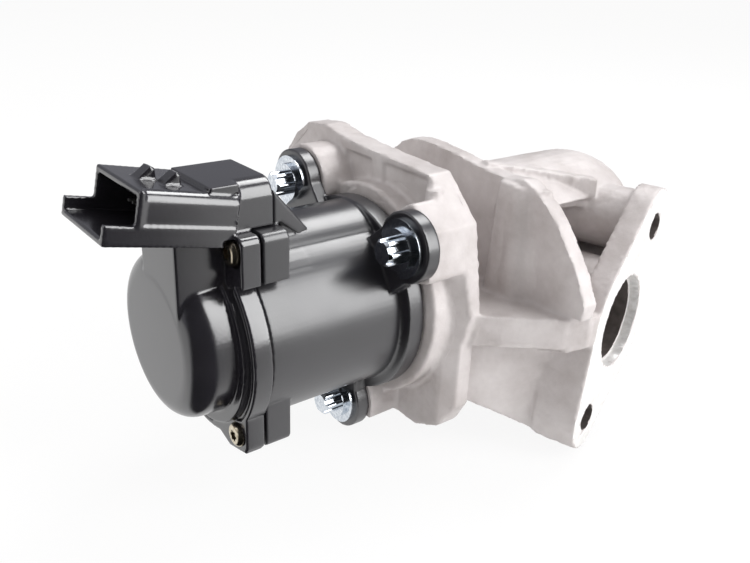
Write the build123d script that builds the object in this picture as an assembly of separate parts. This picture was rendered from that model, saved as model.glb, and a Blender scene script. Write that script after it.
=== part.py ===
from build123d import *
import os
from math import acos, atan2, cos, degrees, hypot, pi, radians, sin, sqrt, tan

# Electric exhaust-gas recirculation valve, in millimetres, +Z up.
# The working frame has +X along the drive axis, from the cap to the casting, and
# x = 0 where the plastic barrel ends. Everything is written out moved by -PORT,
# so that the file's origin is the centre of the inlet port on its flange face.

# ---- used all over
OVER = 1.0               # a cut runs this far past a face, and a form this far into its neighbour
RUN_GAP = 0.05           # radial clearance of everything that turns or slides
PRESS_GAP = 0.01         # radial clearance of everything that is pressed in

# ---- barrel (plastic)
BARREL_R = 25.0
BARREL_WALL = 3.0
BARREL_END_X = -1.6      # face on the gasket
PARTING_X = -46.0        # joint between barrel and cap
RING_R = 28.0
RING_T = 5.0
END_WALL = 3.0
STEP_WALL = 1.6          # wall beside the seat of the bearing plate
MOTOR_Z = 12.5           # motor axis, above the barrel's axis
BULGE_R = 15.0
BULGE_WALL = 2.7
BULGE_END = 3.0          # the bulge stops this short of the barrel's end
CARRIER_GAP = 0.2        # around the bearing plate in its seat
SPRING_BOSS_GAP = 0.4    # around the spring boss in the end wall

# ---- screws that hold the barrel to the casting
LUG_PLACES = [(-27.4, 23.1), (23.6, 27.4), (-2.0, -32.5)]
LUG_R = 9.3
LUG_X0 = -9.7
LUG_X1 = -5.5
LUG_NECK = 16.0          # width of the web from lug to barrel
LIMITER_R = 7.6
LIMITER_T = 1.2
LIMITER_CHORD = 4.6      # flat side, this far from the screw's axis
SLEEVE_R = 4.2
SLEEVE_BORE_R = 3.2
M6_R = 2.95
THREAD_GAP = 0.05
SCREW_FLANGE_R = 5.5
SCREW_FLANGE_T = 1.3
STAR_R = 3.6
STAR_WAIST_R = 2.8
STAR_H = 4.4
STAR_TIP_CHAMFER = 0.7
SCREW_LENGTH = 20.0

# ---- cap (plastic)
SEAL_T = 0.5
SEAL_W = 1.2
CAP_FLANGE_T = 5.2
CAP_FLANGE_OVER = 1.3    # flange stands this far outside the barrel
CAP_FRONT_X = -64.0
DOME_R = 21.7
DOME_Y = 0.8
DOME_Z = 1.5
DOME_FILLET = 6.0
DOME_WALL = 2.0
STEP_RING_R = 23.4
STEP_RING_T = 1.2
EAR_IN = 7.7             # ear screws stand this far inside the barrel's sides,
EAR_UP = 4.0             # the lower ones this far above its lowest line
EAR_UNDER = 0.1          # and the upper ones this far under the bulge's top
EAR_HALF = 4.2
EAR_NECK_Y = 6.25        # the neck behind an ear runs in to this distance from the middle
EAR_DROP = 7.9           # the ear's side reaches this far from its screw to the barrel
EAR_DEPTH = 7.0          # barrel side
EAR_ROUND = 2.0
TOWER_Y0 = -13.5
TOWER_Y1 = 5.0
TOWER_WALL = 1.5
SEAL_IN = 0.6            # the seal lies this far inside the barrel's outline
COVER_SCREW_R = 1.9
COVER_SCREW_HEAD_R = 3.2
COVER_SCREW_HEAD_H = 2.6
COVER_HEAD_FILLET = 1.3
COVER_SCREW_LENGTH = 10.0
COVER_SCREW_RECESS = 1.2
COVER_HEAD_GAP = 0.5     # around a screw's head in the cap
DRIVE_R = 1.5            # six-lobe socket in the screw's head
DRIVE_LOBE = 0.25        # share of that radius taken by a lobe
DRIVE_FLOOR = 0.4        # share of the head's height left under the socket

# ---- connector: lengths run inwards along it from the mouth of its upper half
PLUG_TILT = 12.0         # degrees, up towards the mouth
PLUG_Y0 = -18.7
PLUG_Y1 = 5.5
PLUG_MOUTH_X = -72.2
PLUG_MOUTH_Z = 45.3
PLUG_LIP = 6.6           # the lower half reaches this much further out
PLUG_HEIGHT = 11.9
PLUG_STEP = 7.4          # the upper half ends this far below the top
PLUG_WALL = 1.5
PLUG_DEPTH = 14.0
PLUG_LENGTH = 23.5
TERMINALS = 5
TERMINAL_PITCH = 2.2
TERMINAL_W = 0.8
TERMINAL_T = 0.6
TERMINAL_X = -57.0
TERMINAL_FOOT_Z = 22.0
TERMINAL_OUT = 9.0
LATCH_PLACES = [(-66.0, -6.0), (-62.0, -10.0)]
LATCH_W = 3.0
LATCH_H = 2.4
LATCH_L = 5.0
LATCH_PEAK_AT = 3.5      # a latch rib is tallest this far behind its front

# ---- block and gusset behind the connector
BLOCK_TOP_Z = 42.0
BLOCK_X0 = -55.7
BLOCK_X1 = -40.5
BLOCK_Y0 = -17.0
BLOCK_Y1 = 2.0
BLOCK_LOW_Z = 32.0
BLOCK_STEM_IN = 3.0      # the stem under the block starts this far behind its front
GUSSET_GAP = 0.3
GUSSET_TOP_Z = 40.0
GUSSET_X1 = -29.4
GUSSET_Y0 = -16.5

# ---- casting (aluminium)
PORT = Vector(58.3, -48.3, -7.0)
PORT_TURN = 15.7         # the inlet's face is turned this much from -Y towards +X
PORT_R = 12.0
PORT_STEP_R = 13.8
PORT_STEP_DEPTH = 3.0
PORT_TUBE_R = 17.0
HOLE_PITCH = 60.0
HOLE_LEAN = 33.4         # line of the two holes, from vertical
HOLE_R = 3.9
FLANGE_END_R = 9.6       # around the lower hole
FLANGE_TOP_R = 11.6      # around the upper hole
FLANGE_MID_R = 21.0
FLANGE_T = 7.0
FLANGE_BOSS_T = 12.0
BOLT_BOSS_R = 9.6        # boss of the upper hole, back into the dome
BOLT_BOSS_LENGTH = 30.0
FLANGE_HOLE_DEPTH = 24.0
GASKET_T = 1.0
GASKET_R = 26.6
GASKET_W = 4.0
RING_GAP = 0.3           # around the barrel's ring between the bosses
PAD_R = 31.0
BOSS_R = 10.3            # bosses behind the lugs
PLATE_X0 = 4.0
PLATE_T = 8.0
PLATE_OUTLINE = [(-21, -37), (-30, -33), (-33.8, -26), (-33.8, -8), (-35.5, 2), (-33.6, 13.6), (-31.2, 27),
                 (-20, 38), (10, 39.5), (19, 40.3), (27, 42), (36, 41), (43, 36), (48, 30), (46, 8),
                 (36, -26), (10, -36)]
PLATE_CORNER_R = 1.5
PANEL_DEPTH = 1.8        # recessed panels on the plate's front
PANEL_Y0 = -19.5
PANEL_Y1 = 16.0
PANEL_Z0 = 20.0
PANEL_Z1 = 37.0
RIB_Y = 1.5
RIB_W = 5.0
CORNER_RIB_Y = -22.6     # half-round rib at the plate's upper corner
CORNER_RIB_R = 2.3
CORNER_RIB_Z0 = 22.0
CORNER_RIB_Z1 = 35.0
DRAFT_OUTLINE = [(3, -28.3), (9, -36.2), (3, -36.2)]   # cut off the plate's front edge
FIN_X = 30.0
FIN_T = 5.0
FIN_OUTLINE = [(-53.5, -7), (-54.8, 7), (-51.6, 14), (-46.8, 20.8), (-42.8, 26), (-38.5, 30.2), (-33, 33.8),
               (-29.5, 35.2), (-22.5, 34.2), (-12, 35), (-3, 36.4), (10, 37.6), (17, 37), (22, 35), (27, 31),
               (29, 25), (29, -22), (12, -31), (-20, -31), (-40, -12)]
FIN_BOSS_Y = -25.4       # tapered boss on the fin's front
FIN_BOSS_LOW_R = 5.4
FIN_BOSS_TOP_R = 3.2
FIN_BOSS_TOP_Z = 34.0
RIDGE_FROM = Vector(33, -12, 36)     # top edge of the rib from the fin to the flange
RIDGE_TO = Vector(63, -28.5, 30.8)
RIDGE_T = 4.0
WEB_Z0 = -7.0
WEB_Z1 = 2.0
WEB_OUTLINE = [(10, -20), (10, -35), (33, -54), (42, -53), (52, -30), (40, -14)]
WALL_OUTLINE = [(10, -24.5), (10, -30), (42, -48), (50, -46), (46, -38)]
WALL_LOW = [(8, -26), (14, -27), (41, -43), (60, -43), (60, 0), (8, 0)]
WALL_Z0 = -48.0          # below and outside everything in WALL_LOW
WALL_Y0 = -60.0
HUB_R = 13.0
BODY_R = 20.0
DOME_BODY_R = 23.5
DOME_BODY_X = 70.0
DOME_BODY_Y = -11.0
DOME_BODY_Z = 10.5
OUTLET_X = 88.0
OUTLET_R = 14.0
OUTLET_STEP_R = 15.5     # seat of the pipe
OUTLET_STEP_DEPTH = 12.0
OUTLET_FLANGE_T = 8.0
OUTLET_PCD = 48.0
OUTLET_BOLTS = 3
OUTLET_BOLT_R = 3.4
OUTLET_LOBE_R = 7.5
OUTLET_BOLT_DEPTH = 30.0
OUTLET_RIM_R = 21.5
CHAMBER_R = 13.0
CHAMBER_X0 = 38.0

# ---- valve
STEM_Z = -9.0
STEM_R = 3.0
LIFT = 6.0
SEAT_X = 60.0
SEAT_T = 4.0
SEAT_R = 13.4
THROAT_R = 9.5
HEAD_R = 11.6
HEAD_T = 3.0
SEAT_GAP = 0.03
GUIDE_R = 4.5
GUIDE_X0 = -6.0
GUIDE_X1 = 30.0
STEM_SEAL_R = 5.5
STEM_SEAL_T = 4.0
SPRING_SEAT_X = -2.0
SPRING_BOSS_R = 8.0
SPRING_WIRE = 1.2
SPRING_R = 6.1
SPRING_TURNS = 6
RETAINER_X = -24.5
RETAINER_T = 1.5
RETAINER_R = 7.1

# ---- gear train
PLATE_CARRIER_T = 3.0    # bearing plate
MODULE_1 = 0.6
PINION_TEETH = 12
WHEEL_TEETH = 30
MODULE_2 = 0.8
IDLER_TEETH = 12
OUTPUT_TEETH = 20
BACKLASH = 0.10
ADDENDUM = 0.85
DEDENDUM = 1.15
PRESSURE = 20.0
STAGE_2_X0 = -52.2
STAGE_2_T = 4.6
STAGE_1_T = 3.6
STAGE_GAP = 0.4
IDLER_PIN_R = 1.5
IDLER_HEAD_R = 2.55
IDLER_HEAD_T = 0.9
IDLER_HEAD_GAP = 0.3
IDLER_PIN_SHORT = 0.5    # the pin ends this far inside the bearing plate
HUB_OUT_R = 5.0
BUSH_R = 7.0
BUSH_FLANGE_R = 7.6
BUSH_FLANGE_T = 1.0
BUSH_OUT = 0.8           # the bush stands this far out of the bearing plate
CAM_X0 = -41.5
CAM_DISC_T = 6.0
CAM_R = 7.2
CAM_BORE_R = 4.2
CAM_TURN = 120.0         # degrees of output for the whole lift
CAM_RUNOUT = 24.0        # ramp beyond each end of the travel
CAM_LEAD = 4.0           # the ramp starts this many degrees inside the disc
CAM_FACETS = 24
CAM_STEP = 0.2           # the ramps stand this far inside the disc's rim
CAM_REACH = 20.0         # the stem's hole runs this far past the disc
ROLLER_R = 1.5
ROLLER_Y0 = 4.4
ROLLER_Y1 = 7.0
PIN_R = 1.0
PIN_END_Y = 8.2
PIN_SLOT_GAP = 0.06
PIN_SLOT_END = 0.3       # room before the pin at rest
ROLLER_GAP = 0.02
ROLLER_LIFT = 1.9        # roller's axis above the ramp, along the drive axis
SLEEVE_IN_R = 7.6
SLEEVE_OUT_R = 8.4
SLEEVE_X1 = -14.0
MAGNET_R = 2.8
MAGNET_T = 1.6
BOARD_T = 1.2
BOARD_POST = 1.2
BOARD_EDGE = 0.3         # clearance beside the board in the tower
BOARD_TOP = 3.0          # the board ends this far above the terminals
BOARD_NECK_Z = -2.0
BOARD_Y0 = -8.0
BOARD_Y1 = 6.0
BOARD_LOW = 5.0          # and this far below the stem's axis
SENSOR_HALF_Y = 2.2
SENSOR_HALF_Z = 2.0
SENSOR_T = 1.1
POST_UP = 8.0            # lower post, above the stem's axis
POST_DOWN = 4.0          # upper post, below the terminals
TOWER_ROOM = 4.0         # the tower's hollow ends this far above the terminals

# ---- motor
CAN_R = 12.0
CAN_LENGTH = 35.0
CAN_WALL = 0.8
CAN_NOSE_R = 3.5
CAN_NOSE_H = 2.4
CAN_NOSE_IN = 2.0
SHAFT_R = 1.25
ARMATURE_R = 8.0
ARMATURE_LENGTH = 17.0
ARMATURE_X = 5.0         # from the can's front
ARMATURE_SLOTS = 5
SLOT_MOUTH_W = 1.2
SLOT_MOUTH_DEPTH = 2.5
SLOT_R = 1.5
SLOT_AT = 4.96           # slot's centre, from the shaft
MAGNET_IN_R = 8.6
MAGNET_OVER = 1.0        # the magnets are this much longer than the armature, at each end
MAGNET_SPLIT = 5.0       # gap between the two magnets
END_CAP_T = 3.0
END_CAP_WALL = 0.8
SHAFT_SHORT = 1.2
COMMUTATOR_R = 3.2
COMMUTATOR_LENGTH = 5.0
COMMUTATOR_GAP = 1.0
BRUSH_GAP = 0.3
BRUSH_OUT_GAP = 0.8
BRUSH_H = 3.0

# ---- derived places
CAP_FLANGE_X1 = PARTING_X - SEAL_T
CAP_FLANGE_X0 = CAP_FLANGE_X1 - CAP_FLANGE_T
CARRIER_X0 = PARTING_X
CARRIER_X1 = PARTING_X + PLATE_CARRIER_T
PAD_X = BARREL_END_X + GASKET_T
PLATE_X1 = PLATE_X0 + PLATE_T
STAGE_2_X1 = STAGE_2_X0 + STAGE_2_T
STAGE_1_X1 = STAGE_2_X0 - STAGE_GAP
STAGE_1_X0 = STAGE_1_X1 - STAGE_1_T
RATE = LIFT / CAM_TURN                      # mm of lift per degree of cam
CAM_FACE_X = CAM_X0 + CAM_DISC_T
ROLLER_X = CAM_FACE_X + RATE * CAM_RUNOUT + ROLLER_LIFT
PITCH_1 = MODULE_1 * (PINION_TEETH + WHEEL_TEETH) / 2
PITCH_2 = MODULE_2 * (IDLER_TEETH + OUTPUT_TEETH) / 2
AXES = MOTOR_Z - STEM_Z
IDLER_DROP = (PITCH_1**2 - PITCH_2**2 + AXES**2) / (2 * AXES)
IDLER_Y = sqrt(PITCH_1**2 - IDLER_DROP**2)
IDLER_Z = MOTOR_Z - IDLER_DROP
MOTOR_X0 = CARRIER_X1
MOTOR_X1 = MOTOR_X0 + CAN_LENGTH
ARMATURE_X0 = MOTOR_X0 + ARMATURE_X
ARMATURE_X1 = ARMATURE_X0 + ARMATURE_LENGTH
COMMUTATOR_X0 = ARMATURE_X1 + COMMUTATOR_GAP
EAR_Y = BARREL_R - EAR_IN
EAR_TOP_Z = MOTOR_Z + BULGE_R - EAR_UNDER
EAR_LOW_Z = EAR_UP - BARREL_R
PORT_NORMAL = Vector(sin(radians(PORT_TURN)), -cos(radians(PORT_TURN)), 0)
PORT_ACROSS = Vector(cos(radians(PORT_TURN)), sin(radians(PORT_TURN)), 0)
EARS = [(side * EAR_Y, z) for side in (-1, 1) for z in (EAR_TOP_Z, EAR_LOW_Z)]
LUGS = [(y, z, degrees(atan2(-y, z))) for y, z in LUG_PLACES]
SCREW_SEAT_X = LUG_X0 - LIMITER_T
BOARD_X0 = CAP_FRONT_X + DOME_WALL + BOARD_POST


# ---------------------------------------------------------------- helpers
def across(x, y=0.0, z=0.0):
    """Plane across the drive axis: its own x is +Y, its own y is +Z."""
    return Plane(origin=(x, y, z), x_dir=(0, 1, 0), z_dir=(1, 0, 0))


def along(sketch, x0, x1, y=0.0, z=0.0):
    """Push a sketch drawn in Y and Z from x0 to x1."""
    return extrude(across(x0, y, z) * sketch, amount=x1 - x0, dir=(1, 0, 0))


def bar(radius, x0, x1, y=0.0, z=0.0):
    return along(Circle(radius), x0, x1, y, z)


def pipe(outer, inner, x0, x1, y=0.0, z=0.0):
    return bar(outer, x0, x1, y, z) - bar(inner, x0 - OVER, x1 + OVER, y, z)


def block(x0, x1, y0, y1, z0, z1):
    return Pos(x0, y0, z0) * Box(x1 - x0, y1 - y0, z1 - z0, align=(Align.MIN, Align.MIN, Align.MIN))


def upright(points, z0, z1):
    """Push an outline drawn in X and Y from z0 to z1."""
    return extrude(Plane.XY.offset(z0) * Polygon(*points, align=None), amount=z1 - z0, dir=(0, 0, 1))


def sideways(points, y0, y1):
    """Push an outline drawn in X and Z from y0 to y1."""
    plane = Plane(origin=(0, y0, 0), x_dir=(1, 0, 0), z_dir=(0, -1, 0))
    return extrude(plane * Polygon(*points, align=None), amount=y1 - y0, dir=(0, 1, 0))


def solids_of(shapes):
    """One node from several separate solids."""
    return Compound(children=[solid for shape in shapes for solid in shape.solids()])


def write(node, shape):
    placed = [solid.translate(-PORT, transform=True) for solid in shape.solids()]
    export_step(placed[0] if len(placed) == 1 else Compound(children=placed), "parts/" + node + ".step")


# ---------------------------------------------------------------- barrel and its screws
def case_outline(grow=0.0):
    """Outline of the barrel with its motor bulge, seen along the drive axis."""
    return Circle(BARREL_R + grow) + Pos(0, MOTOR_Z) * Circle(BULGE_R + grow)


def ear_outline(y, z):
    """Rounded ear around a cover screw, joined to the barrel."""
    pad = RectangleRounded(2 * EAR_HALF, 2 * EAR_HALF, EAR_ROUND)
    side = 1 if y > 0 else -1
    level = 1 if z > 0 else -1
    reach = abs(y) + EAR_HALF - EAR_NECK_Y
    neck = Pos(side * (EAR_NECK_Y + reach / 2), z - level * EAR_DROP / 2) * Rectangle(reach, EAR_DROP)
    return Pos(y, z) * pad + neck


def ears(x0, x1):
    return [along(ear_outline(y, z), x0, x1) for y, z in EARS]


def lug(y, z, angle):
    """Screw lug with its neck down to the barrel."""
    reach = hypot(y, z)
    neck = Rot(0, 0, angle) * Pos(0, reach / 2) * Rectangle(LUG_NECK, reach)
    return along(Pos(y, z) * Circle(LUG_R) + neck, LUG_X0, LUG_X1)


def actuator_housing():
    bulge_x1 = BARREL_END_X - BULGE_END
    shell = bar(BARREL_R, PARTING_X, BARREL_END_X)
    shell += bar(BULGE_R, PARTING_X, bulge_x1, z=MOTOR_Z)
    shell += bar(RING_R, BARREL_END_X - RING_T, BARREL_END_X)
    for piece in ears(PARTING_X, PARTING_X + EAR_DEPTH):
        shell += piece
    for y, z, angle in LUGS:
        shell += lug(y, z, angle)
    gusset_x0 = BLOCK_X1 + GUSSET_GAP
    gusset = [(gusset_x0, MOTOR_Z), (gusset_x0, GUSSET_TOP_Z),
              (GUSSET_X1, MOTOR_Z + BULGE_R), (GUSSET_X1, MOTOR_Z)]
    shell += sideways(gusset, GUSSET_Y0, BLOCK_Y1)
    # the bearing plate's seat, the main hollow and the motor's pocket
    shell -= along(case_outline(-STEP_WALL), PARTING_X - OVER, CARRIER_X1)
    shell -= bar(BARREL_R - BARREL_WALL, PARTING_X, BARREL_END_X - END_WALL)
    shell -= bar(BULGE_R - BULGE_WALL, PARTING_X, bulge_x1 - BULGE_WALL, z=MOTOR_Z)
    # hole for the spring boss, screw holes
    wall_x0 = BARREL_END_X - END_WALL
    shell -= bar(SPRING_BOSS_R + SPRING_BOSS_GAP, wall_x0 - OVER, BARREL_END_X + OVER, z=STEM_Z)
    for y, z, angle in LUGS:
        shell -= bar(SLEEVE_R + RUN_GAP, LUG_X0 - OVER, LUG_X1 + OVER, y, z)
    for y, z in EARS:
        shell -= bar(COVER_SCREW_R + THREAD_GAP, PARTING_X - OVER, PARTING_X + EAR_DEPTH + OVER, y, z)
    return shell


def limiter(y, z, angle):
    """D-shaped steel plate with the sleeve that takes the screw's clamping force."""
    plate = Circle(LIMITER_R) - Pos(0, -LIMITER_CHORD - LIMITER_R) * Rectangle(4 * LIMITER_R, 2 * LIMITER_R)
    piece = along(Pos(y, z) * Rot(0, 0, angle) * plate, SCREW_SEAT_X, LUG_X0)
    piece += bar(SLEEVE_R, SCREW_SEAT_X, LUG_X1, y, z)
    return piece - bar(SLEEVE_BORE_R, SCREW_SEAT_X - OVER, LUG_X1 + OVER, y, z)


def actuator_screw(y, z):
    """Flanged screw with an external star head."""
    head_x = SCREW_SEAT_X - SCREW_FLANGE_T
    star = Circle(STAR_WAIST_R)
    for k in range(6):
        star += Rot(0, 0, 60 * k) * Pos(STAR_WAIST_R, 0) * Circle(STAR_R - STAR_WAIST_R)
    piece = bar(SCREW_FLANGE_R, head_x, SCREW_SEAT_X, y, z)
    tip_x = head_x - STAR_H
    nose = across(tip_x, y, z) * Circle(STAR_R - STAR_TIP_CHAMFER)
    keep = extrude(nose, amount=STAR_H + OVER, dir=(1, 0, 0), taper=-45)
    piece += along(star, tip_x, head_x, y, z) & keep
    return piece + bar(M6_R, SCREW_SEAT_X, SCREW_SEAT_X + SCREW_LENGTH, y, z)


def body_gasket():
    return pipe(GASKET_R, GASKET_R - GASKET_W, BARREL_END_X, PAD_X)


# ---------------------------------------------------------------- cap and connector
def plug_point(inwards, down):
    """Place in X and Z, from distances along the connector and below its roof."""
    tilt = radians(PLUG_TILT)
    return (PLUG_MOUTH_X + inwards * cos(tilt) - down * sin(tilt),
            PLUG_MOUTH_Z - inwards * sin(tilt) - down * cos(tilt))


def plug_strip(in0, in1, down0, down1, y0, y1):
    """Tilted bar of the connector."""
    corners = ((in0, down0), (in1, down0), (in1, down1), (in0, down1))
    return sideways([plug_point(*corner) for corner in corners], y0, y1)


def terminal(y, grow=0.0):
    """Blade from the sensor board up through the tower and out into the shroud."""
    half_w = TERMINAL_W / 2 + grow
    half_t = TERMINAL_T / 2 + grow
    middle = PLUG_HEIGHT / 2
    bend_in = (TERMINAL_X - plug_point(0, middle)[0]) / cos(radians(PLUG_TILT))
    bend_z = plug_point(bend_in, middle)[1]
    piece = block(BOARD_X0 + BOARD_T, TERMINAL_X + half_t, y - half_w, y + half_w,
                  TERMINAL_FOOT_Z - half_t, TERMINAL_FOOT_Z + half_t)
    piece += block(TERMINAL_X - half_t, TERMINAL_X + half_t, y - half_w, y + half_w,
                   TERMINAL_FOOT_Z - half_t, bend_z)
    piece += plug_strip(PLUG_DEPTH - TERMINAL_OUT, bend_in + half_t, middle - half_t, middle + half_t,
                        y - half_w, y + half_w)
    return piece


def terminal_places():
    middle = (PLUG_Y0 + PLUG_Y1) / 2
    return [middle + (k - (TERMINALS - 1) / 2) * TERMINAL_PITCH for k in range(TERMINALS)]


def gear_cover():
    cap = along(case_outline(CAP_FLANGE_OVER), CAP_FLANGE_X0, CAP_FLANGE_X1)
    for piece in ears(CAP_FLANGE_X0, CAP_FLANGE_X1):
        cap += piece
    dome = bar(DOME_R, CAP_FRONT_X, CAP_FLANGE_X1, DOME_Y, DOME_Z)
    dome = fillet(dome.edges().sort_by(Axis.X)[0], DOME_FILLET)
    cap += dome
    cap += bar(STEP_RING_R, CAP_FLANGE_X0 - STEP_RING_T, CAP_FLANGE_X1)
    # tower: its top follows the connector's underside
    front = (CAP_FRONT_X - plug_point(0, PLUG_HEIGHT)[0]) / cos(radians(PLUG_TILT))
    tower = [plug_point(front, PLUG_HEIGHT - OVER), plug_point(PLUG_LENGTH, PLUG_HEIGHT - OVER),
             (CAP_FLANGE_X1, MOTOR_Z), (CAP_FLANGE_X1, 0), (CAP_FRONT_X, 0)]
    cap += sideways(tower, TOWER_Y0, TOWER_Y1)
    # shroud: a long lower half and a shorter upper half
    cap += plug_strip(-PLUG_LIP, PLUG_LENGTH, PLUG_STEP, PLUG_HEIGHT, PLUG_Y0, PLUG_Y1)
    cap += plug_strip(0, PLUG_LENGTH, 0, PLUG_STEP + OVER, PLUG_Y0, PLUG_Y1)
    cap += block(BLOCK_X0, BLOCK_X1, BLOCK_Y0, BLOCK_Y1, BLOCK_LOW_Z, BLOCK_TOP_Z)
    cap += block(BLOCK_X0 + BLOCK_STEM_IN, CAP_FLANGE_X1, TOWER_Y0, BLOCK_Y1, MOTOR_Z, BLOCK_LOW_Z + OVER)
    cap -= plug_strip(-PLUG_LIP - 2 * OVER, PLUG_DEPTH, PLUG_WALL, PLUG_HEIGHT - PLUG_WALL,
                      PLUG_Y0 + PLUG_WALL, PLUG_Y1 - PLUG_WALL)
    for x, y in LATCH_PLACES:
        cap += latch_rib(x, y)
    # hollow for the gears and the board
    hollow = bar(DOME_R - DOME_WALL, CAP_FRONT_X + DOME_WALL, CAP_FLANGE_X1 + OVER, DOME_Y, DOME_Z)
    hollow = fillet(hollow.edges().sort_by(Axis.X)[0], DOME_FILLET - DOME_WALL)
    cap -= hollow
    cap -= block(CAP_FRONT_X + DOME_WALL, TERMINAL_X - TERMINAL_T, TOWER_Y0 + TOWER_WALL,
                 TOWER_Y1 - TOWER_WALL, 0, TERMINAL_FOOT_Z + TOWER_ROOM)
    for y, z in ((0, STEM_Z + POST_UP), ((TOWER_Y0 + TOWER_Y1) / 2, TERMINAL_FOOT_Z - POST_DOWN)):
        cap += bar(BOARD_POST, CAP_FRONT_X + OVER, BOARD_X0, y, z)
    for y in terminal_places():
        cap -= terminal(y, RUN_GAP)
    for y, z in EARS:
        cap -= bar(COVER_SCREW_R + THREAD_GAP, CAP_FLANGE_X0 - OVER, CAP_FLANGE_X1 + OVER, y, z)
        cap -= bar(COVER_SCREW_HEAD_R + COVER_HEAD_GAP, CAP_FLANGE_X0 - COVER_SCREW_HEAD_H,
                   CAP_FLANGE_X0 + COVER_SCREW_RECESS, y, z)
    return cap


def latch_rib(x, y):
    """Wedge on the connector's roof."""
    inwards = (x - PLUG_MOUTH_X) / cos(radians(PLUG_TILT))
    foot = PLUG_WALL / 3
    corners = ((inwards, foot), (inwards + LATCH_L, foot), (inwards + LATCH_PEAK_AT, -LATCH_H))
    return sideways([plug_point(*corner) for corner in corners], y - LATCH_W / 2, y + LATCH_W / 2)


def cover_seal():
    outer = case_outline(-SEAL_IN)
    inner = case_outline(-SEAL_IN - SEAL_W)
    return along(outer - inner, CAP_FLANGE_X1, PARTING_X)


def cover_screw(y, z):
    seat_x = CAP_FLANGE_X0 + COVER_SCREW_RECESS
    head = bar(COVER_SCREW_HEAD_R, seat_x - COVER_SCREW_HEAD_H, seat_x, y, z)
    head = fillet(head.edges().sort_by(Axis.X)[0], COVER_HEAD_FILLET)
    core_r = DRIVE_R * (1 - DRIVE_LOBE)
    drive = Circle(core_r)
    for k in range(6):
        drive += Rot(0, 0, 60 * k) * Pos(core_r, 0) * Circle(DRIVE_R * DRIVE_LOBE)
    head -= along(drive, seat_x - COVER_SCREW_HEAD_H - OVER, seat_x - COVER_SCREW_HEAD_H * DRIVE_FLOOR, y, z)
    return head + bar(COVER_SCREW_R, seat_x, seat_x + COVER_SCREW_LENGTH, y, z)


def sensor_board():
    """Board under the cap, with the angle sensor facing the magnet on the output gear."""
    x1 = BOARD_X0 + BOARD_T
    edge = TOWER_WALL + BOARD_EDGE
    board = block(BOARD_X0, x1, TOWER_Y0 + edge, TOWER_Y1 - edge, BOARD_NECK_Z, TERMINAL_FOOT_Z + BOARD_TOP)
    board += block(BOARD_X0, x1, BOARD_Y0, BOARD_Y1, STEM_Z - BOARD_LOW, 0)
    board += block(BOARD_X0, x1 + SENSOR_T, -SENSOR_HALF_Y, SENSOR_HALF_Y,
                   STEM_Z - SENSOR_HALF_Z, STEM_Z + SENSOR_HALF_Z)
    return board


# ---------------------------------------------------------------- gears
def gear_outline(module, teeth):
    """Involute gear with a tooth on its own +X, thinned for backlash."""
    pitch_r = module * teeth / 2
    base_r = pitch_r * cos(radians(PRESSURE))
    tip_r = pitch_r + ADDENDUM * module
    root_r = pitch_r - DEDENDUM * module

    def flank(radius):
        """Half the tooth's angle at a radius."""
        at_pitch = tan(radians(PRESSURE)) - radians(PRESSURE)
        half = (pi * module / 2 - BACKLASH) / (2 * pitch_r)
        if radius <= base_r:
            return half + at_pitch
        roll = acos(base_r / radius)
        return half + at_pitch - (tan(roll) - roll)

    low_r = max(root_r, base_r * 0.999)
    radii = [low_r + (tip_r - low_r) * k / 4 for k in range(5)]
    points = []
    for tooth in range(teeth):
        middle = 2 * pi * tooth / teeth
        side = [(root_r, flank(low_r))] + [(r, flank(r)) for r in radii]
        points += [(r * cos(middle - a), r * sin(middle - a)) for r, a in side]
        points += [(r * cos(middle + a), r * sin(middle + a)) for r, a in reversed(side)]
    return Polygon(*points, align=None)


def gear(module, teeth, x0, x1, y, z, turn):
    return along(Rot(0, 0, turn) * gear_outline(module, teeth), x0, x1, y, z)


def heading(y0, z0, y1, z1):
    return degrees(atan2(z1 - z0, y1 - y0))


TO_MOTOR = heading(IDLER_Y, IDLER_Z, 0, MOTOR_Z)
TO_OUTPUT = heading(IDLER_Y, IDLER_Z, 0, STEM_Z)


def motor_pinion():
    turn = TO_MOTOR + 180 + 180 / PINION_TEETH
    piece = gear(MODULE_1, PINION_TEETH, STAGE_1_X0, STAGE_1_X1, 0, MOTOR_Z, turn)
    return piece - bar(SHAFT_R, STAGE_1_X0 - OVER, STAGE_1_X1 + OVER, z=MOTOR_Z)


def idler_gear():
    piece = gear(MODULE_1, WHEEL_TEETH, STAGE_1_X0, STAGE_1_X1, IDLER_Y, IDLER_Z, TO_MOTOR)
    piece += gear(MODULE_2, IDLER_TEETH, STAGE_1_X1, STAGE_2_X1, IDLER_Y, IDLER_Z, TO_OUTPUT)
    return piece - bar(IDLER_PIN_R + RUN_GAP, STAGE_1_X0 - OVER, STAGE_2_X1 + OVER, IDLER_Y, IDLER_Z)


def idler_pin():
    head_x1 = STAGE_1_X0 - IDLER_HEAD_GAP
    pin = bar(IDLER_PIN_R, head_x1, CARRIER_X1 - IDLER_PIN_SHORT, IDLER_Y, IDLER_Z)
    return pin + bar(IDLER_HEAD_R, head_x1 - IDLER_HEAD_T, head_x1, IDLER_Y, IDLER_Z)


def output_gear():
    turn = TO_OUTPUT + 180 + 180 / OUTPUT_TEETH
    piece = gear(MODULE_2, OUTPUT_TEETH, STAGE_2_X0, STAGE_2_X1, 0, STEM_Z, turn)
    piece += bar(HUB_OUT_R, STAGE_2_X0, CAM_X0, z=STEM_Z)
    return piece - bar(STEM_R + RUN_GAP, STAGE_2_X0 - OVER, CAM_X0 + OVER, z=STEM_Z)


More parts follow.
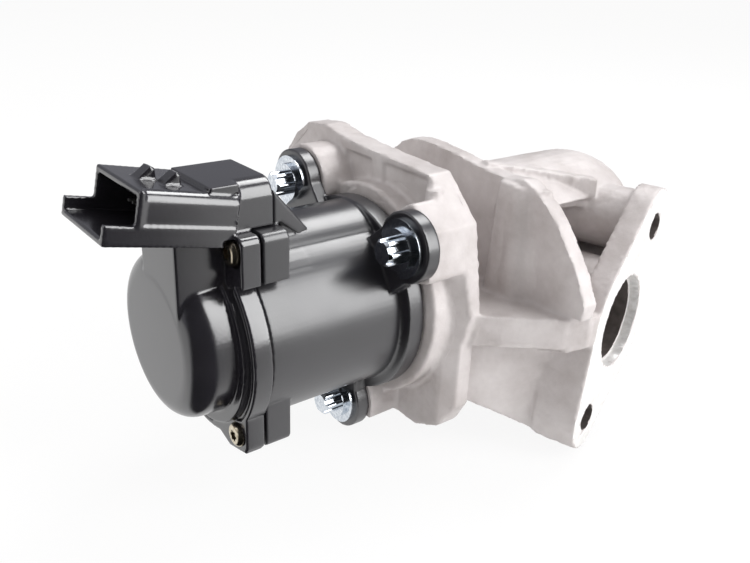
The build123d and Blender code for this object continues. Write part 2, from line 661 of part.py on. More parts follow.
def output_bush():
    piece = pipe(BUSH_R, HUB_OUT_R + RUN_GAP, CARRIER_X0, CARRIER_X1 + BUSH_OUT, z=STEM_Z)
    flange = pipe(BUSH_FLANGE_R, HUB_OUT_R + RUN_GAP, CARRIER_X0 - BUSH_FLANGE_T, CARRIER_X0, z=STEM_Z)
    return piece + flange


def bearing_plate():
    plate = along(case_outline(-STEP_WALL - CARRIER_GAP), CARRIER_X0, CARRIER_X1)
    plate -= bar(CAN_NOSE_R + RUN_GAP, CARRIER_X0 - OVER, CARRIER_X1 + OVER, z=MOTOR_Z)
    plate -= bar(BUSH_R + PRESS_GAP, CARRIER_X0 - OVER, CARRIER_X1 + OVER, z=STEM_Z)
    plate -= bar(IDLER_PIN_R + PRESS_GAP, CARRIER_X0 - OVER, CARRIER_X1 + OVER, IDLER_Y, IDLER_Z)
    return plate


def sensor_magnet():
    return bar(MAGNET_R, STAGE_2_X0 - MAGNET_T, STAGE_2_X0, z=STEM_Z)


# ---------------------------------------------------------------- cam and follower
def cam_point(radius, angle, x):
    return (x, radius * cos(radians(angle)), radius * sin(radians(angle)))


def cam_ramp(start):
    """One ramp in flat facets: it climbs along +X as the angle falls, by RATE per degree."""
    span = CAM_TURN + 2 * CAM_RUNOUT + CAM_LEAD
    angles = [start + CAM_LEAD - span * k / CAM_FACETS for k in range(CAM_FACETS + 1)]
    low_x = CAM_FACE_X - OVER
    rails = []
    for radius in (CAM_BORE_R, CAM_R - CAM_STEP):
        low = [cam_point(radius, angle, low_x) for angle in angles]
        high = [cam_point(radius, angle, CAM_FACE_X + (start - angle) * RATE) for angle in angles]
        rails += [low, high]
    in_low, in_high, out_low, out_high = rails
    facets = []
    for k in range(CAM_FACETS):
        facets.append((in_low[k], in_low[k + 1], out_low[k + 1], out_low[k]))
        facets.append((in_low[k], in_low[k + 1], in_high[k + 1], in_high[k]))
        facets.append((out_low[k], out_low[k + 1], out_high[k + 1], out_high[k]))
        facets.append((in_high[k], in_high[k + 1], out_high[k]))
        facets.append((out_high[k], in_high[k + 1], out_high[k + 1]))
    for k in (0, CAM_FACETS):
        facets.append((in_low[k], in_high[k], out_high[k], out_low[k]))
    return Solid(Shell([Face(Wire.make_polygon(facet, close=True)) for facet in facets]))


def cam_drum():
    drum = bar(CAM_R, CAM_X0, CAM_FACE_X)
    for start in (CAM_RUNOUT, 180 + CAM_RUNOUT):
        drum += cam_ramp(start)
    drum -= bar(STEM_R + RUN_GAP, CAM_X0 - OVER, CAM_FACE_X + CAM_REACH)
    return Pos(0, 0, STEM_Z) * drum


def cross_pin():
    pin = Cylinder(PIN_R, 2 * PIN_END_Y, rotation=(90, 0, 0))
    return Pos(ROLLER_X, 0, STEM_Z) * pin


def cam_rollers():
    rollers = []
    for side in (-1, 1):
        middle = side * (ROLLER_Y0 + ROLLER_Y1) / 2
        roller = Cylinder(ROLLER_R, ROLLER_Y1 - ROLLER_Y0, rotation=(90, 0, 0))
        roller -= Cylinder(PIN_R + ROLLER_GAP, 2 * PIN_END_Y, rotation=(90, 0, 0))
        rollers.append(Pos(ROLLER_X, middle, STEM_Z) * roller)
    return solids_of(rollers)


def guide_sleeve():
    """Slotted tube on the bearing plate that lets the cross pin slide but not turn."""
    sleeve = pipe(SLEEVE_OUT_R, SLEEVE_IN_R, CARRIER_X1, SLEEVE_X1, z=STEM_Z)
    half = PIN_R + PIN_SLOT_GAP
    slot = block(ROLLER_X - PIN_R - PIN_SLOT_END, SLEEVE_X1 + OVER, -SLEEVE_OUT_R - OVER, SLEEVE_OUT_R + OVER,
                 STEM_Z - half, STEM_Z + half)
    return sleeve - slot


# ---------------------------------------------------------------- valve
def valve_stem():
    stem = bar(STEM_R, STAGE_2_X1, SEAT_X + SEAT_T + HEAD_T, z=STEM_Z)
    stem -= Pos(ROLLER_X, 0, STEM_Z) * Cylinder(PIN_R + PRESS_GAP, 4 * STEM_R, rotation=(90, 0, 0))
    return stem


def valve_head():
    face_x = SEAT_X + SEAT_T
    cone = HEAD_R - THROAT_R
    profile = [(face_x - cone + SEAT_GAP, STEM_R + PRESS_GAP), (face_x - cone + SEAT_GAP, THROAT_R),
               (face_x + SEAT_GAP, HEAD_R), (face_x + HEAD_T, HEAD_R), (face_x + HEAD_T, STEM_R + PRESS_GAP)]
    sketch = Plane(origin=(0, 0, STEM_Z), x_dir=(1, 0, 0), z_dir=(0, -1, 0)) * Polygon(*profile, align=None)
    return revolve(sketch, axis=Axis((0, 0, STEM_Z), (1, 0, 0)), revolution_arc=360)


def valve_seat():
    face_x = SEAT_X + SEAT_T
    cone = HEAD_R - THROAT_R
    profile = [(SEAT_X, THROAT_R), (face_x - cone, THROAT_R), (face_x, HEAD_R),
               (face_x, SEAT_R), (SEAT_X, SEAT_R)]
    sketch = Plane(origin=(0, 0, STEM_Z), x_dir=(1, 0, 0), z_dir=(0, -1, 0)) * Polygon(*profile, align=None)
    return revolve(sketch, axis=Axis((0, 0, STEM_Z), (1, 0, 0)), revolution_arc=360)


def stem_guide():
    return pipe(GUIDE_R, STEM_R + RUN_GAP, GUIDE_X0, GUIDE_X1, z=STEM_Z)


def stem_seal():
    return pipe(STEM_SEAL_R, STEM_R + RUN_GAP, GUIDE_X1, GUIDE_X1 + STEM_SEAL_T, z=STEM_Z)


def spring_retainer():
    return pipe(RETAINER_R, STEM_R + PRESS_GAP, RETAINER_X - RETAINER_T, RETAINER_X, z=STEM_Z)


def return_spring():
    """Coil spring with its ends cut flat between the retainer and the casting."""
    length = SPRING_SEAT_X - RETAINER_X
    pitch = (length - SPRING_WIRE) / SPRING_TURNS
    path = Helix(pitch=pitch, height=length - SPRING_WIRE, radius=SPRING_R)
    start = Plane(origin=path @ 0, z_dir=path % 0)
    coil = sweep(start * Circle(SPRING_WIRE / 2), path=path, is_frenet=True)
    return Pos(RETAINER_X + SPRING_WIRE / 2, 0, STEM_Z) * Rot(0, 90, 0) * coil


# ---------------------------------------------------------------- motor
def motor_can():
    nose_x0 = MOTOR_X0 - CAN_NOSE_H
    nose_x1 = MOTOR_X0 + CAN_NOSE_IN
    can = bar(CAN_R, MOTOR_X0, MOTOR_X1 - END_CAP_T, z=MOTOR_Z)
    can -= bar(CAN_R - CAN_WALL, MOTOR_X0 + CAN_WALL, MOTOR_X1, z=MOTOR_Z)
    can += bar(CAN_NOSE_R, nose_x0, nose_x1, z=MOTOR_Z)
    return can - bar(SHAFT_R + RUN_GAP, nose_x0 - OVER, nose_x1 + OVER, z=MOTOR_Z)


def motor_end_cap():
    cap = bar(CAN_R, MOTOR_X1 - END_CAP_T, MOTOR_X1, z=MOTOR_Z)
    return cap - bar(SHAFT_R + RUN_GAP, MOTOR_X1 - END_CAP_T - OVER, MOTOR_X1 - END_CAP_WALL, z=MOTOR_Z)


def motor_magnets():
    ring = pipe(CAN_R - CAN_WALL - PRESS_GAP, MAGNET_IN_R,
                ARMATURE_X0 - MAGNET_OVER, ARMATURE_X1 + MAGNET_OVER, z=MOTOR_Z)
    gap = block(MOTOR_X0, MOTOR_X1, -CAN_R, CAN_R, MOTOR_Z - MAGNET_SPLIT / 2, MOTOR_Z + MAGNET_SPLIT / 2)
    return solids_of([ring - gap])


def rotor_shaft():
    return bar(SHAFT_R, STAGE_1_X0, MOTOR_X1 - SHAFT_SHORT, z=MOTOR_Z)


def rotor_armature():
    core = Circle(ARMATURE_R)
    for k in range(ARMATURE_SLOTS):
        slot = Pos(ARMATURE_R, 0) * Rectangle(2 * SLOT_MOUTH_DEPTH, SLOT_MOUTH_W)
        slot += Pos(SLOT_AT, 0) * Circle(SLOT_R)
        core -= Rot(0, 0, 360 * k / ARMATURE_SLOTS) * slot
    core -= Circle(SHAFT_R)
    return along(core, ARMATURE_X0, ARMATURE_X1, z=MOTOR_Z)


def commutator():
    return pipe(COMMUTATOR_R, SHAFT_R, COMMUTATOR_X0, COMMUTATOR_X0 + COMMUTATOR_LENGTH, z=MOTOR_Z)


def motor_brushes():
    """Two carbon brushes on the end cap, beside the commutator."""
    brushes = []
    for side in (-1, 1):
        inner = side * (COMMUTATOR_R + BRUSH_GAP)
        outer = side * (CAN_R - CAN_WALL - BRUSH_OUT_GAP)
        brush = block(COMMUTATOR_X0 + COMMUTATOR_GAP, MOTOR_X1 - END_CAP_T,
                      min(inner, outer), max(inner, outer), MOTOR_Z - BRUSH_H / 2, MOTOR_Z + BRUSH_H / 2)
        brushes.append(brush)
    return solids_of(brushes)


# ---------------------------------------------------------------- casting
def port_plane(depth=0.0):
    return Plane(origin=PORT - PORT_NORMAL * depth, x_dir=PORT_ACROSS, z_dir=PORT_NORMAL)


def from_port(sketch, depth0, depth1):
    """Push a sketch on the inlet face back into the casting, between two depths."""
    return extrude(port_plane(depth0) * sketch, amount=depth1 - depth0, dir=-PORT_NORMAL)


def hole_place(side):
    lean = radians(HOLE_LEAN)
    return Pos(side * HOLE_PITCH / 2 * sin(lean), side * HOLE_PITCH / 2 * cos(lean))


def hull_of(*sketches):
    edges = [edge for sketch in sketches for edge in sketch.edges()]
    return make_hull(edges)


def inlet_flange():
    middle = Circle(FLANGE_MID_R)
    top = hole_place(1) * Circle(FLANGE_TOP_R)
    low = hole_place(-1) * Circle(FLANGE_END_R)
    flange = from_port(hull_of(middle, top, low), 0, FLANGE_T)
    flange += from_port(hull_of(middle, low), 0, FLANGE_BOSS_T + OVER)
    flange += from_port(hole_place(1) * Circle(BOLT_BOSS_R), 0, BOLT_BOSS_LENGTH)
    return flange


def fin():
    plate = along(Polygon(*FIN_OUTLINE, align=None), FIN_X, FIN_X + FIN_T)
    height = FIN_BOSS_TOP_Z - WEB_Z0
    boss = Pos(FIN_X, FIN_BOSS_Y, WEB_Z0 + height / 2) * Cone(FIN_BOSS_LOW_R, FIN_BOSS_TOP_R, height)
    room = block(FIN_X - FIN_BOSS_LOW_R, FIN_X + FIN_T, FIN_BOSS_Y - FIN_BOSS_LOW_R,
                 FIN_BOSS_Y + FIN_BOSS_LOW_R, WEB_Z0, FIN_BOSS_TOP_Z)
    return plate + (boss & room)


def ridge():
    """Upright rib under the line from RIDGE_FROM to RIDGE_TO, down into the dome."""
    run = Vector(RIDGE_TO.X - RIDGE_FROM.X, RIDGE_TO.Y - RIDGE_FROM.Y, 0)
    side = run.normalized().cross(Vector(0, 0, 1))
    foot = Vector(RIDGE_FROM.X, RIDGE_FROM.Y, DOME_BODY_Z)
    face = [(0, 0), (run.length, 0), (run.length, RIDGE_TO.Z - foot.Z), (0, RIDGE_FROM.Z - foot.Z)]
    plane = Plane(origin=foot - side * RIDGE_T / 2, x_dir=run.normalized(), z_dir=side)
    return extrude(plane * Polygon(*face, align=None), amount=RIDGE_T, dir=side)


def front_plate():
    outline = fillet(Polygon(*PLATE_OUTLINE, align=None).vertices(), PLATE_CORNER_R)
    plate = along(outline, PLATE_X0, PLATE_X1)
    for y0, y1 in ((PANEL_Y0, RIB_Y - RIB_W / 2), (RIB_Y + RIB_W / 2, PANEL_Y1)):
        plate -= block(PLATE_X0 - OVER, PLATE_X0 + PANEL_DEPTH, y0, y1, PANEL_Z0, PANEL_Z1)
    plate -= upright(DRAFT_OUTLINE, WALL_Z0, -WALL_Z0)
    rib_height = CORNER_RIB_Z1 - CORNER_RIB_Z0
    rib_place = Pos(PLATE_X0, CORNER_RIB_Y, CORNER_RIB_Z0 + rib_height / 2)
    plate += rib_place * Cylinder(CORNER_RIB_R, rib_height)
    plate += bar(PAD_R, PAD_X, PLATE_X1)
    # bosses that carry the lugs, cut back around the barrel's ring
    for y, z, angle in LUGS:
        boss = along((Pos(y, z) * Circle(BOSS_R)) & outline, LUG_X1, PLATE_X1)
        plate += boss - bar(RING_R + RING_GAP, LUG_X1 - OVER, PAD_X)
    return plate


def valve_body():
    body = front_plate()
    body += bar(SPRING_BOSS_R, SPRING_SEAT_X, PLATE_X1, z=STEM_Z)
    body += bar(HUB_R, PLATE_X1 - OVER, FIN_X + OVER, z=STEM_Z)
    body += fin()
    body += upright(WEB_OUTLINE, WEB_Z0, WEB_Z1)
    body += upright(WALL_OUTLINE, WALL_Z0, WEB_Z1 - OVER) & sideways(WALL_LOW, WALL_Y0, 0)
    body += inlet_flange()
    body += from_port(Circle(PORT_TUBE_R), OVER, -PORT.Y / cos(radians(PORT_TURN)))
    body += bar(BODY_R, FIN_X + OVER, OUTLET_X, z=STEM_Z)
    dome = bar(DOME_BODY_R, FIN_X + OVER, DOME_BODY_X, DOME_BODY_Y, DOME_BODY_Z)
    dome += Pos(DOME_BODY_X, DOME_BODY_Y, DOME_BODY_Z) * Sphere(DOME_BODY_R)
    reach = 2 * DOME_BODY_R + HOLE_PITCH
    body += dome & block(FIN_X, OUTLET_X - OUTLET_FLANGE_T / 2, -reach, reach, -reach, reach)
    body += ridge()
    body += outlet_flange()
    # gas way: inlet bore, chamber, seat pocket, outlet bore
    body -= from_port(Circle(PORT_R), -OVER, -PORT.Y / cos(radians(PORT_TURN)))
    body -= from_port(Circle(PORT_STEP_R), -OVER, PORT_STEP_DEPTH)
    body -= bar(CHAMBER_R, CHAMBER_X0, SEAT_X + RUN_GAP, z=STEM_Z)
    body -= bar(SEAT_R + PRESS_GAP, SEAT_X, SEAT_X + SEAT_T + RUN_GAP, z=STEM_Z)
    body -= bar(OUTLET_R, SEAT_X + SEAT_T, OUTLET_X, z=STEM_Z)
    body -= bar(OUTLET_STEP_R, OUTLET_X - OUTLET_STEP_DEPTH, OUTLET_X + OVER, z=STEM_Z)
    # stem guide and seal
    body -= bar(GUIDE_R + PRESS_GAP, SPRING_SEAT_X - OVER, CHAMBER_X0 + OVER, z=STEM_Z)
    body -= bar(STEM_SEAL_R + PRESS_GAP, GUIDE_X1, CHAMBER_X0 + OVER, z=STEM_Z)
    # flange holes and tapped holes for the actuator screws
    for side in (-1, 1):
        body -= from_port(hole_place(side) * Circle(HOLE_R), -OVER, FLANGE_HOLE_DEPTH)
    for y, z, angle in LUGS:
        body -= bar(M6_R + THREAD_GAP, LUG_X1 - OVER, PLATE_X1 + OVER, y, z)
    return body


def outlet_flange():
    rim = Circle(OUTLET_RIM_R)
    holes = []
    for k in range(OUTLET_BOLTS):
        place = Rot(0, 0, 90 + 360 * k / OUTLET_BOLTS) * Pos(OUTLET_PCD / 2, 0)
        rim += place * Circle(OUTLET_LOBE_R)
        holes.append(place * Circle(OUTLET_BOLT_R))
    flange = along(rim, OUTLET_X - OUTLET_FLANGE_T, OUTLET_X, z=STEM_Z)
    for hole in holes:
        flange -= along(hole, OUTLET_X - OUTLET_BOLT_DEPTH, OUTLET_X + OVER, z=STEM_Z)
    return flange


# ---------------------------------------------------------------- write the nodes
os.makedirs("parts", exist_ok=True)
write("valve_body", valve_body())
write("actuator_housing", actuator_housing())
write("gear_cover", gear_cover())
write("cover_seal", cover_seal())
write("cover_screws", solids_of([cover_screw(y, z) for y, z in EARS]))
write("limiter_plates", solids_of([limiter(*place) for place in LUGS]))
write("actuator_screws", solids_of([actuator_screw(y, z) for y, z, angle in LUGS]))
write("connector_terminals", solids_of([terminal(y) for y in terminal_places()]))
write("body_gasket", solids_of([body_gasket()]))
write("motor_can", motor_can())
write("motor_magnets", motor_magnets())
write("motor_end_cap", motor_end_cap())
write("motor_brushes", motor_brushes())
write("rotor_shaft", rotor_shaft())
write("rotor_armature", rotor_armature())
write("commutator", commutator())
write("motor_pinion", motor_pinion())
write("bearing_plate", bearing_plate())
write("idler_pin", idler_pin())
write("idler_gear", idler_gear())
write("output_bush", output_bush())
write("output_gear", output_gear())
write("cam_drum", cam_drum())
write("sensor_magnet", sensor_magnet())
write("sensor_board", sensor_board())
write("guide_sleeve", guide_sleeve())
write("cross_pin", cross_pin())
write("cam_rollers", cam_rollers())
write("valve_stem", valve_stem())
write("valve_head", valve_head())
write("spring_retainer", spring_retainer())
write("return_spring", return_spring())
write("stem_guide", stem_guide())
write("stem_seal", stem_seal())
write("valve_seat", valve_seat())
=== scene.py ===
import math

import bmesh
import bpy
from mathutils import Euler, Matrix, Vector


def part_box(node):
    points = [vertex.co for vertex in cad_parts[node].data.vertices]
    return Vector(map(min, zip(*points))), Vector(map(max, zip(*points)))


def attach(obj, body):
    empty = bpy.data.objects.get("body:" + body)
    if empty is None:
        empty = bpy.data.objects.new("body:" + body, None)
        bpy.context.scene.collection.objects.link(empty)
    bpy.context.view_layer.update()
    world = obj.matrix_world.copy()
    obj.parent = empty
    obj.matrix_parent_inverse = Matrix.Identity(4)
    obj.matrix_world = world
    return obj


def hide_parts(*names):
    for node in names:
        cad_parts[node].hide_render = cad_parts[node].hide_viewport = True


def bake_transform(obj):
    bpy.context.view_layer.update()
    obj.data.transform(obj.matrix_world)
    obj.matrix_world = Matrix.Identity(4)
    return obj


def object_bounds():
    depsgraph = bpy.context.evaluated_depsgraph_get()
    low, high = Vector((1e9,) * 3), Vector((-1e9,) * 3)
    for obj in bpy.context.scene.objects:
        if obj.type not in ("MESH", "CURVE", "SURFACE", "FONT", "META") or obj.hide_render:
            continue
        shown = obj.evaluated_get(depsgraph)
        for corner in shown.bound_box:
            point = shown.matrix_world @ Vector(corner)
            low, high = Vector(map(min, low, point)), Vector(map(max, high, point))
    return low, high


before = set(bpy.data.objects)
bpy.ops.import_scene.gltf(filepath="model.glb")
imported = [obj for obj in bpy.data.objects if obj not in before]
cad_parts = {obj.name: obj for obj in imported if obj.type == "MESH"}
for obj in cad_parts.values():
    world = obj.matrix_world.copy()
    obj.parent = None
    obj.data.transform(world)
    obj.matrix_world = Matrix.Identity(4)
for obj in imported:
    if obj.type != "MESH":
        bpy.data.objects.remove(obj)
cad_box = [list(corner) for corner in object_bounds()]

# Shapes are drawn in millimetres about the drive: +X runs from the actuator's cap to the
# casting, x = 0 lies just inside the joint between barrel and casting, y = z = 0 on the
# barrel's axis. seat() moves them into the frame, whose origin is the inlet port.
MM = 0.001
STEM_DROP = 9.0
GASKET_END = -0.6
gasket_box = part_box("body_gasket")
stem_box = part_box("valve_stem")
DRIVE_ORIGIN = Vector((gasket_box[1].x - GASKET_END * MM,
                       (stem_box[0].y + stem_box[1].y) / 2,
                       (stem_box[0].z + stem_box[1].z) / 2 + STEM_DROP * MM))
TO_FRAME = Matrix.Translation(DRIVE_ORIGIN) @ Matrix.Scale(MM, 4)
TO_DRIVE = TO_FRAME.inverted()


# ---------------------------------------------------------------- small tools
def linear(code):
    """sRGB hex colour, such as 1b2c3d, as a linear RGBA."""
    channels = [int(code[k:k + 2], 16) / 255 for k in (0, 2, 4)]
    return [c / 12.92 if c <= 0.04045 else ((c + 0.055) / 1.055) ** 2.4 for c in channels] + [1.0]


def add_node(tree, kind, inputs=None, **settings):
    """Adds a node. An input is a value, or the socket that it takes its value from."""
    made = tree.nodes.new(kind)
    for name, value in settings.items():
        setattr(made, name, value)
    for name, value in (inputs or {}).items():
        if isinstance(value, bpy.types.NodeSocket):
            tree.links.new(value, made.inputs[name])
        else:
            made.inputs[name].default_value = value
    return made


def new_material(name):
    material = bpy.data.materials.new(name)
    material.use_nodes = True
    material.node_tree.nodes.clear()
    return material, material.node_tree


def close_material(tree, shader):
    output = add_node(tree, "ShaderNodeOutputMaterial")
    tree.links.new(shader.outputs[0], output.inputs["Surface"])


def ramp(tree, factor, stops):
    """Colour ramp with (position, hex colour) stops."""
    made = add_node(tree, "ShaderNodeValToRGB", {"Fac": factor})
    while len(made.color_ramp.elements) < len(stops):
        made.color_ramp.elements.new(0.5)
    for element, (position, code) in zip(made.color_ramp.elements, stops):
        element.position = position
        element.color = linear(code)
    return made


def noise(tree, size_mm, detail, roughness=0.5):
    """Noise in object space with features of about size_mm."""
    place = add_node(tree, "ShaderNodeTexCoord").outputs["Object"]
    made = add_node(tree, "ShaderNodeTexNoise",
                    {"Vector": place, "Scale": 1 / (size_mm * MM), "Detail": detail, "Roughness": roughness})
    return made.outputs["Fac"]


def bump(tree, height, strength, depth_mm, over=None):
    """Relief of about depth_mm, over another relief if one is given."""
    inputs = {"Height": height, "Strength": strength, "Distance": depth_mm * MM}
    if over:
        inputs["Normal"] = over
    return add_node(tree, "ShaderNodeBump", inputs).outputs["Normal"]


def principled(tree, colour, roughness, normal, **others):
    """Closes a material with one Principled shader."""
    inputs = {"Base Color": colour.outputs["Color"], "Roughness": roughness, "Normal": normal}
    close_material(tree, add_node(tree, "ShaderNodeBsdfPrincipled", inputs | others))


# ---------------------------------------------------------------- finishes
PLASTIC_IOR = 1.95           # glass-filled and polished, so it mirrors more than bare resin
PLASTIC_UNEVEN = 0.07        # how much rougher the flow marks are than the rest


def moulded_plastic(name, polish):
    """Glass-filled PBT, injection moulded: near black, so that its greys are reflections,
    with faint flow marks."""
    material, tree = new_material(name)
    flow = noise(tree, 14, 4.0)
    colour = ramp(tree, flow, [(0.3, "1b1a1e"), (0.7, "242328")])
    gloss = add_node(tree, "ShaderNodeMapRange",
                     {"Value": flow, "From Min": 0.3, "From Max": 0.7,
                      "To Min": polish, "To Max": polish + PLASTIC_UNEVEN})
    relief = bump(tree, noise(tree, 0.5, 2.0), 0.12, 0.08)
    principled(tree, colour, gloss.outputs["Result"], relief, IOR=PLASTIC_IOR)
    return material


def cast_aluminium():
    """Aluminium as it leaves the die: matt, warm pale grey, faintly stained and pitted."""
    material, tree = new_material("die_cast_aluminium")
    stain = noise(tree, 16, 5.0, 0.6)
    colour = ramp(tree, stain, [(0.3, "b3acaa"), (0.5, "c6c0bf"), (0.7, "d4cfce")])
    swell = bump(tree, noise(tree, 7, 2.0), 0.5, 0.6)
    skin = bump(tree, noise(tree, 1.1, 6.0, 0.65), 0.35, 0.2, over=swell)
    principled(tree, colour, 0.5, skin, Metallic=0.12)
    return material


def machined_aluminium():
    """Aluminium faced after casting: bright, with a fine grain."""
    material, tree = new_material("turned_aluminium")
    grain = noise(tree, 1.5, 2.0)
    colour = ramp(tree, grain, [(0.35, "dddbd9"), (0.65, "e8e7e6")])
    principled(tree, colour, 0.4, bump(tree, grain, 0.05, 0.05), Metallic=0.35)
    return material


def plain_metal(name, dark, light, roughness, grain_mm, metallic=1.0):
    """Metal with a fine grain that varies its colour a little."""
    material, tree = new_material(name)
    grain = noise(tree, grain_mm, 4.0)
    colour = ramp(tree, grain, [(0.35, dark), (0.65, light)])
    principled(tree, colour, roughness, bump(tree, grain, 0.1, 0.03), Metallic=metallic)
    return material


def dull_solid(name, dark, light, roughness, grain_mm):
    """Plastic, rubber or ceramic with a fine grain."""
    return plain_metal(name, dark, light, roughness, grain_mm, metallic=0.0)


PLASTIC = moulded_plastic("moulded_pbt_polished", 0.16)
PLASTIC_DULL = moulded_plastic("moulded_pbt_satin", 0.28)
CASTING = cast_aluminium()
MACHINED = machined_aluminium()
# inside the bores and bolt holes: the casting colour darkened, which paints in the shade that falls there
BORE_PAINTED_SHADE = dull_solid("bore_painted_shade", "4a4441", "5e5653", 0.6, 3.0)
BRIGHT_ZINC = plain_metal("bright_zinc_plate", "c2c9d2", "e4e9ee", 0.16, 0.8)
YELLOW_ZINC = plain_metal("passivated_zinc_plate", "b9ac93", "ddd3bf", 0.24, 0.8)
GROUND_STEEL = plain_metal("ground_steel", "9a9a9c", "b6b6b8", 0.25, 0.5)
PRESSED_STEEL = plain_metal("pressed_steel", "8e8e92", "a6a6aa", 0.34, 0.8)
HEAT_STEEL = plain_metal("turned_heat_resistant_steel", "7c7874", "959089", 0.38, 0.6)
SPRING_STEEL = plain_metal("oiled_spring_wire", "4c4d52", "65666b", 0.3, 0.5)
CORE_STEEL = plain_metal("core_laminations", "6b665f", "857f77", 0.45, 0.4)
COPPER = plain_metal("turned_copper", "c07a55", "d99670", 0.3, 0.5)
BRASS = plain_metal("hobbed_brass", "b59554", "cdb06f", 0.3, 0.5)
BRONZE = plain_metal("sintered_bronze", "8f6c42", "a98457", 0.5, 0.3)
TIN = plain_metal("tin_plate", "bcbcb8", "d6d6d2", 0.3, 0.6)
RUBBER = dull_solid("moulded_nitrile_rubber", "111113", "1a1a1c", 0.6, 0.6)
FERRITE = dull_solid("sintered_ferrite", "2a2a2d", "38383b", 0.6, 0.5)
NYLON = dull_solid("moulded_nylon", "1d1d20", "28282b", 0.45, 0.6)
CARBON = dull_solid("pressed_carbon", "1a1a1a", "262626", 0.7, 0.3)
ACETAL = dull_solid("moulded_acetal", "d8d4c6", "e6e2d6", 0.4, 0.8)
BOARD = dull_solid("lacquered_board", "10462c", "175a3a", 0.35, 1.0)

FINISHES = {
    "valve_body": CASTING, "actuator_housing": PLASTIC, "gear_cover": PLASTIC, "cover_seal": RUBBER,
    "body_gasket": RUBBER, "stem_seal": RUBBER, "cover_screws": YELLOW_ZINC, "actuator_screws": BRIGHT_ZINC,
    "limiter_plates": BRIGHT_ZINC, "connector_terminals": TIN, "motor_can": PRESSED_STEEL,
    "motor_magnets": FERRITE, "sensor_magnet": FERRITE, "motor_end_cap": NYLON, "motor_brushes": CARBON,
    "rotor_shaft": GROUND_STEEL, "idler_pin": GROUND_STEEL, "cross_pin": GROUND_STEEL,
    "cam_rollers": GROUND_STEEL, "valve_stem": GROUND_STEEL, "rotor_armature": CORE_STEEL,
    "commutator": COPPER, "motor_pinion": BRASS, "idler_gear": ACETAL, "output_gear": ACETAL,
    "cam_drum": ACETAL, "bearing_plate": PRESSED_STEEL, "guide_sleeve": PRESSED_STEEL,
    "spring_retainer": PRESSED_STEEL, "output_bush": BRONZE, "stem_guide": BRONZE, "sensor_board": BOARD,
    "return_spring": SPRING_STEEL, "valve_head": HEAT_STEEL, "valve_seat": HEAT_STEEL,
}
for node_name, finish in FINISHES.items():
    for material_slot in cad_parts[node_name].material_slots:
        material_slot.material = finish


# ---------------------------------------------------------------- mesh tools
WELD = 0.002                 # corners this near are one
OVER = 1                     # how far a cutter runs past what it cuts
SHARP = math.radians(50)     # an edge that turns more than this stays sharp


def node_copy(node_name):
    """A CAD node's mesh as a bmesh in drive millimetres, with its loose triangles merged."""
    bm = bmesh.new()
    bm.from_mesh(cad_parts[node_name].data)
    bm.transform(TO_DRIVE)
    bmesh.ops.remove_doubles(bm, verts=bm.verts, dist=WELD)
    return bm


def to_mesh(bm, name):
    mesh = bpy.data.meshes.new(name)
    bm.to_mesh(mesh)
    bm.free()
    return mesh


def modified(mesh, kind, **settings):
    """The mesh after one modifier."""
    holder = bpy.data.objects.new("work", mesh)
    bpy.context.scene.collection.objects.link(holder)
    modifier = holder.modifiers.new("step", kind)
    for name, value in settings.items():
        setattr(modifier, name, value)
    view = bpy.context.evaluated_depsgraph_get()
    done = bpy.data.meshes.new_from_object(holder.evaluated_get(view))
    bpy.data.objects.remove(holder)
    return done


def block(x, y, z):
    """Box between two values on each axis."""
    bm = bmesh.new()
    bmesh.ops.create_cube(bm, size=1.0)
    size = Vector((x[1] - x[0], y[1] - y[0], z[1] - z[0]))
    middle = Vector((x[1] + x[0], y[1] + y[0], z[1] + z[0])) / 2
    bmesh.ops.scale(bm, verts=bm.verts, vec=size)
    bmesh.ops.translate(bm, verts=bm.verts, vec=middle)
    return bm


def rod(start, end, radius, end_radius=None, sides=72):
    """Round bar, or a tapered one, between two points."""
    start, end = Vector(start), Vector(end)
    bm = bmesh.new()
    bmesh.ops.create_cone(bm, cap_ends=True, segments=sides, radius1=radius,
                          radius2=radius if end_radius is None else end_radius, depth=(end - start).length)
    turn = (end - start).to_track_quat("Z", "Y").to_matrix().to_4x4()
    bm.transform(Matrix.Translation((start + end) / 2) @ turn)
    return bm


def prism(corners, axis, low, high):
    """Polygon in the plane across an axis, pushed along it. Corners leave out that axis."""
    bm = bmesh.new()
    k = "xyz".index(axis)
    spots = [list(corner[:k]) + [low] + list(corner[k:]) for corner in corners]
    face = bm.faces.new([bm.verts.new(spot) for spot in spots])
    pushed = bmesh.ops.extrude_face_region(bm, geom=[face])
    step = [0.0, 0.0, 0.0]
    step[k] = high - low
    moved = [item for item in pushed["geom"] if isinstance(item, bmesh.types.BMVert)]
    bmesh.ops.translate(bm, verts=moved, vec=step)
    bmesh.ops.recalc_face_normals(bm, faces=bm.faces)
    return bm


def placed(bm, matrix):
    bm.transform(matrix)
    return bm


def cut(mesh, cutter, material=None):
    """The mesh less the cutter, a bmesh. The cut faces get the material, if one is given."""
    tool_mesh = to_mesh(cutter, "tool")
    if material:
        tool_mesh.materials.append(material)
    tool = bpy.data.objects.new("tool", tool_mesh)
    bpy.context.scene.collection.objects.link(tool)
    tool.hide_render = True
    done = modified(mesh, "BOOLEAN", operation="DIFFERENCE", solver="EXACT", object=tool,
                    material_mode="TRANSFER" if material else "INDEX")
    bpy.data.objects.remove(tool)
    return done


def less(bm, *cutters):
    """A bmesh less others."""
    mesh = to_mesh(bm, "part")
    for cutter in cutters:
        mesh = cut(mesh, cutter)
    done = bmesh.new()
    done.from_mesh(mesh)
    return done


def gather(*shells):
    """Several shells in one bmesh."""
    together = bmesh.new()
    for shell in shells:
        together.from_mesh(to_mesh(shell, "shell"))
    return together


